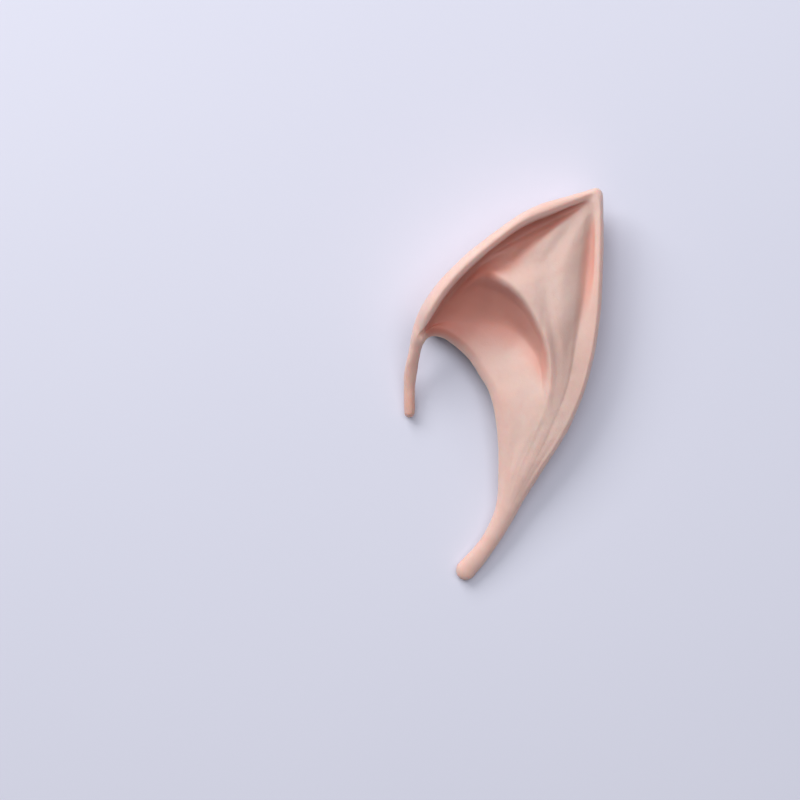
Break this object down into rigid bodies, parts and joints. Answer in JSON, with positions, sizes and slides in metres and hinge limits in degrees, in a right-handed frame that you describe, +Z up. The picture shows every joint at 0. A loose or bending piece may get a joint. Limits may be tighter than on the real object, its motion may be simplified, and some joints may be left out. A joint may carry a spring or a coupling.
{
  "type": "elf ear tip",
  "caption": "Hollow moulded pointed ear tip with a curled rim, an open arch that slips over the wearer's ear, and a soft hooking strap at each end of the arch.",
  "frame": {"origin": "middle of the outline seen from above, on the surface that the ear tip rests on", "axes": "+Z up out of the front of the ear, +Y along its length from the lower strap towards the tip, +X across it towards its back edge"},
  "size_m": [0.0604, 0.1194, 0.0233],
  "materials": {
    "latex_skin": "soft satin flesh-coloured moulded latex"
  },
  "bodies": {
    "root": {"ear_tip_shell": "latex_skin"}
  },
  "joints": []
}
